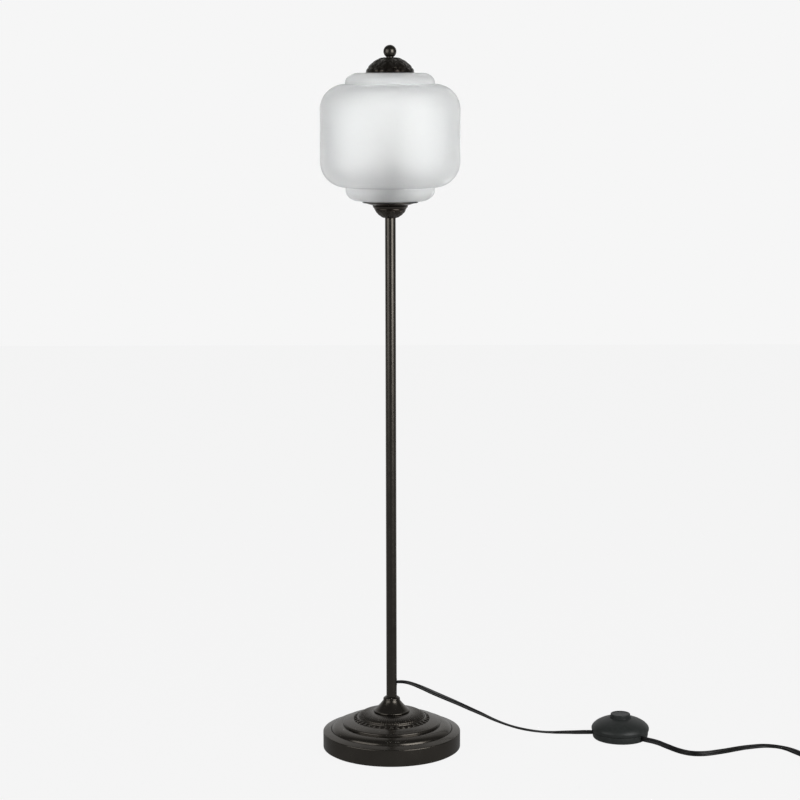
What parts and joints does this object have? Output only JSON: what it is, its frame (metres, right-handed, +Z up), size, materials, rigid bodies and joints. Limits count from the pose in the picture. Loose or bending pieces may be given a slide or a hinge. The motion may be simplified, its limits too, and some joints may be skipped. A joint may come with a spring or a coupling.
{
  "type": "lantern floor lamp",
  "caption": "Slim floor lamp with a stepped frosted glass lantern, a domed cap with a ball finial, a round weighted base, and a flat cord with a round foot switch and a plug.",
  "frame": {"origin": "centre of the round base, on the floor under its felt pad", "axes": "+Z up along the pole; +X towards the cord outlet and the foot switch; +Y away from the viewer of the picture"},
  "size_m": [0.6837, 0.202, 0.8517],
  "materials": {
    "bronze": "warm near-black bronze lacquer, half gloss",
    "iron": "rough cast, tarred",
    "steel": "zinc plated",
    "nickel": "nickel plated",
    "brass": "bare, slightly dull",
    "holder": "dark bronze lacquer",
    "porcelain": "glazed white porcelain",
    "frosted_glass": "satin frosted opal, smooth outside",
    "opal_glass": "white coated inside",
    "felt": "black felt",
    "gasket": "soft black rubber",
    "black_plastic": "black, fine satin",
    "switch_plastic": "cool dark grey, satin",
    "cord": "black smooth sheath, half gloss"
  },
  "bodies": {
    "lamp": {"felt_pad": "felt", "base_shell": "bronze", "base_weight": "iron", "base_washer": "steel", "base_nut": "steel", "base_nipple": "steel", "base_rosette": "bronze", "neck_cover": "bronze", "neck_collar": "bronze", "pole": "bronze", "cord_bushing": "black_plastic", "inner_cord": "cord", "top_nipple": "steel", "husk_cup": "bronze", "husk_nut": "steel", "gallery_plate": "bronze", "seat_gasket": "gasket", "saddle_spacer": "steel", "frame_saddle": "steel", "frame_rods": "steel", "frame_bridge": "steel", "bridge_nuts": "steel", "finial_stud": "steel", "holder_cap": "holder", "holder_shell": "holder", "holder_insulator": "porcelain", "screw_shell": "brass", "centre_contact": "brass", "terminal_screws": "brass", "switch_base": "switch_plastic", "switch_cover": "switch_plastic", "switch_spring": "steel", "switch_block": "black_plastic", "switch_screws": "steel", "switch_feet": "gasket", "cord_to_switch": "cord", "cord_from_switch": "cord", "cord_coil": "cord", "cord_to_plug": "cord", "coil_tie": "black_plastic", "plug_body": "black_plastic", "plug_relief": "black_plastic", "plug_pins": "nickel", "pin_sleeves": "black_plastic"},
    "shade": {"glass_foot": "frosted_glass", "glass_flare": "frosted_glass", "glass_low_shoulder": "frosted_glass", "glass_drum": "frosted_glass", "glass_high_shoulder": "frosted_glass", "glass_head": "frosted_glass"},
    "cap": {"dome_cap": "bronze", "cap_gasket": "gasket"},
    "washer": {"finial_washer": "bronze"},
    "finial": {"finial_ball": "bronze"},
    "bulb": {"bulb_cap": "nickel", "bulb_glass": "opal_glass"},
    "button": {"switch_button": "switch_plastic"}
  },
  "joints": [
    {"name": "shade_lift", "type": "slide", "parent": "lamp", "child": "shade", "axis": [0, 0, 1], "range_m": [0, 0.18]},
    {"name": "cap_lift", "type": "slide", "parent": "lamp", "child": "cap", "axis": [0, 0, 1], "range_m": [0, 0.225]},
    {"name": "finial_lift", "type": "slide", "parent": "cap", "child": "washer", "axis": [0, 0, 1], "range_m": [0, 0.0072]},
    {"name": "finial_turn", "type": "hinge", "parent": "washer", "child": "finial", "pos_m": [0, 0, 0.8442], "axis": [0, 0, 1], "range_deg": [0, 3240]},
    {"name": "bulb_turn", "type": "hinge", "parent": "lamp", "child": "bulb", "pos_m": [0, 0, 0.71], "axis": [0, 0, 1], "range_deg": [0, 1260]},
    {"name": "switch_press", "type": "slide", "parent": "lamp", "child": "button", "axis": [0, 0, -1], "range_m": [0, 0.0032], "stiffness_N_per_m": 1500, "springref_m": -0.003, "deforming": ["switch_spring"]}
  ],
  "couplings": [
    {"joint": "cap_lift", "follows": "shade_lift", "ratio": 1.25},
    {"joint": "finial_turn", "follows": "finial_lift", "rad_per_m": 7854}
  ]
}
